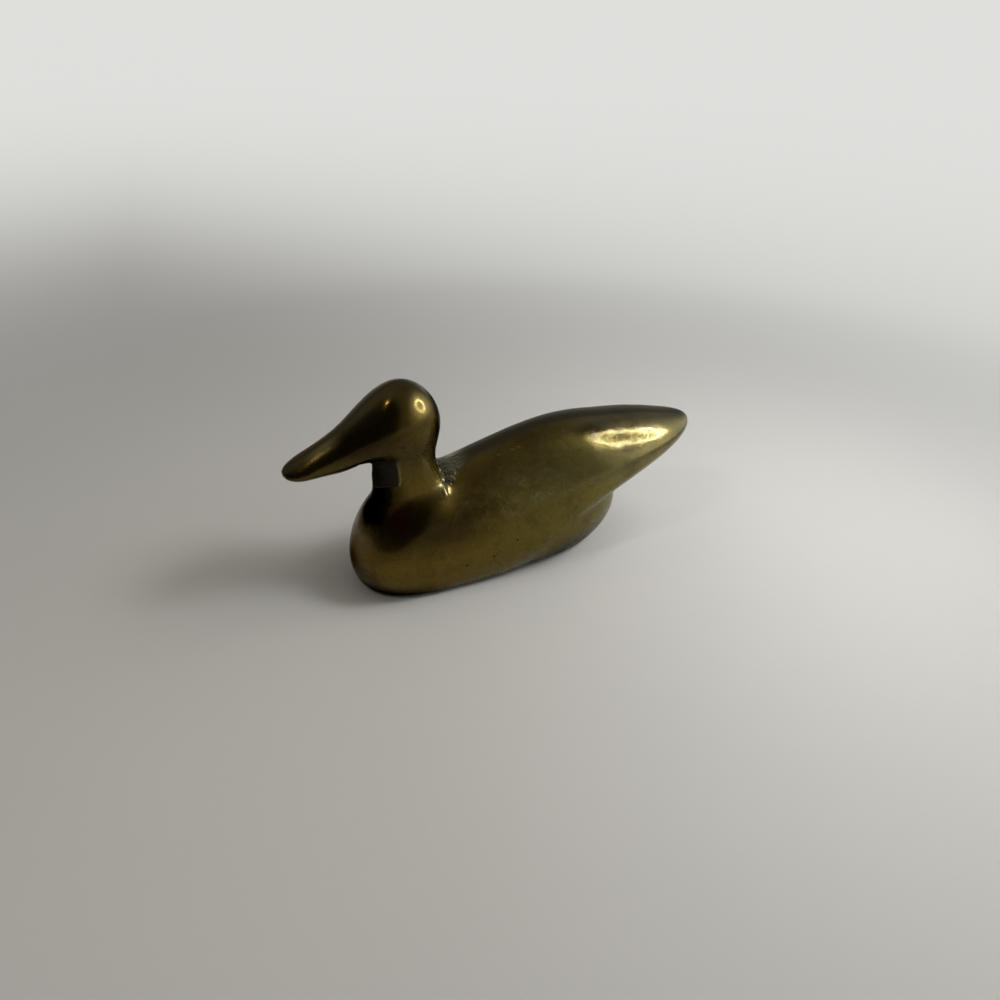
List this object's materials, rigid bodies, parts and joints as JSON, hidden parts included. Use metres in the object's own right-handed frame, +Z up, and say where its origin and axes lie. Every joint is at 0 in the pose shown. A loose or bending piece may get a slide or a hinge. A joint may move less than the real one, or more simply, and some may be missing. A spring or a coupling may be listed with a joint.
{
  "type": "brass duck figurine",
  "caption": "Small cast brass duck ornament with a smooth decoy-like body, long bill and upswept tail, standing on a low flat foot.",
  "frame": {"origin": "on the surface the duck stands on, under the middle of its bounding box", "axes": "+X towards the tail, -X the way the bill points, +Y to the duck's right, +Z up"},
  "size_m": [0.1074, 0.0314, 0.0516],
  "materials": {
    "aged_brass": "polished by hand and aged to a dark olive gold",
    "braze_metal": "rough, left as it set"
  },
  "bodies": {
    "root": {"body_casting": "aged_brass", "head_casting": "aged_brass", "neck_braze": "braze_metal"}
  },
  "joints": []
}
